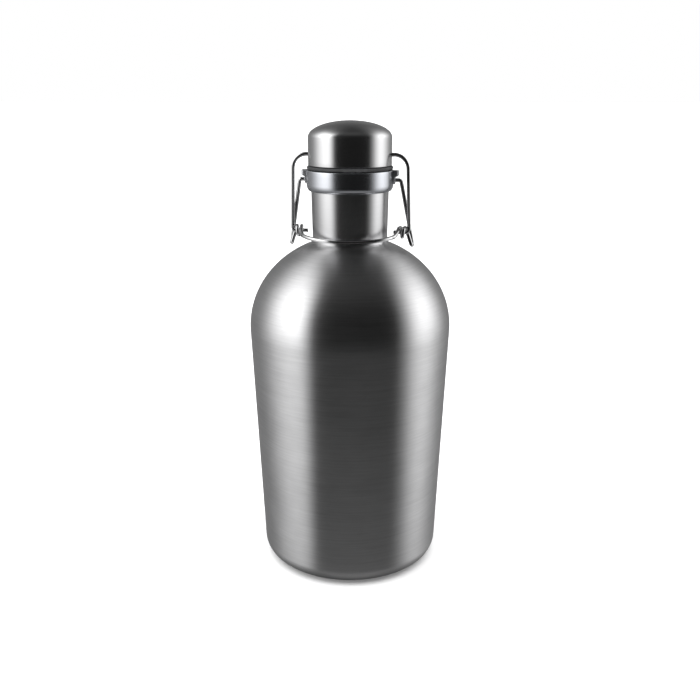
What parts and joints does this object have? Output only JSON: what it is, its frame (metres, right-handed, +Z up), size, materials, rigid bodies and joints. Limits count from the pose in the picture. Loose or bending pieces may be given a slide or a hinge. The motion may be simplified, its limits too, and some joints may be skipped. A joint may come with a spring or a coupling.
{
  "type": "growler",
  "caption": "Stainless steel beer growler with a domed shoulder, a short neck and a domed steel cap held by a hinged wire toggle closure.",
  "frame": {"origin": "centre of the standing ring, on the surface that the bottle stands on", "axes": "+Z up along the bottle's axis, +X along the closure's pivot axes to the right ear, -Y to the front bail"},
  "size_m": [0.127, 0.127, 0.2824],
  "materials": {
    "brushed_body": "brushed round the axis",
    "satin_neck": "fine satin",
    "satin_cap": "fine satin",
    "polished_collar": "polished",
    "bright_wire": "bright drawn wire",
    "core_plastic": "moulded",
    "gasket_rubber": "smooth silicone"
  },
  "bodies": {
    "bottle": {"body_shell": "brushed_body", "base_pan": "brushed_body", "neck_tube": "satin_neck", "mouth_ring": "satin_neck", "collar_ring": "polished_collar", "left_ear": "polished_collar", "right_ear": "polished_collar"},
    "lever": {"lever_wire": "bright_wire"},
    "yoke": {"cap_wire": "bright_wire"},
    "cap": {"cap_shell": "satin_cap", "cap_core": "core_plastic", "cap_gasket": "gasket_rubber"}
  },
  "joints": [
    {"name": "lever_pivot", "type": "hinge", "parent": "bottle", "child": "lever", "pos_m": [0, 0, 0.2474], "axis": [-1, 0, 0], "range_deg": [0, 200]},
    {"name": "yoke_pivot", "type": "hinge", "parent": "lever", "child": "yoke", "pos_m": [0, 0.002, 0.2154], "axis": [-1, 0, 0], "range_deg": [-140, 0]},
    {"name": "cap_pivot", "type": "hinge", "parent": "yoke", "child": "cap", "pos_m": [0, 0, 0.2624], "axis": [-1, 0, 0], "range_deg": [-50, 0]}
  ],
  "couplings": [
    {"joint": "yoke_pivot", "follows": "lever_pivot", "ratio": -0.7},
    {"joint": "cap_pivot", "follows": "lever_pivot", "ratio": -0.25}
  ]
}
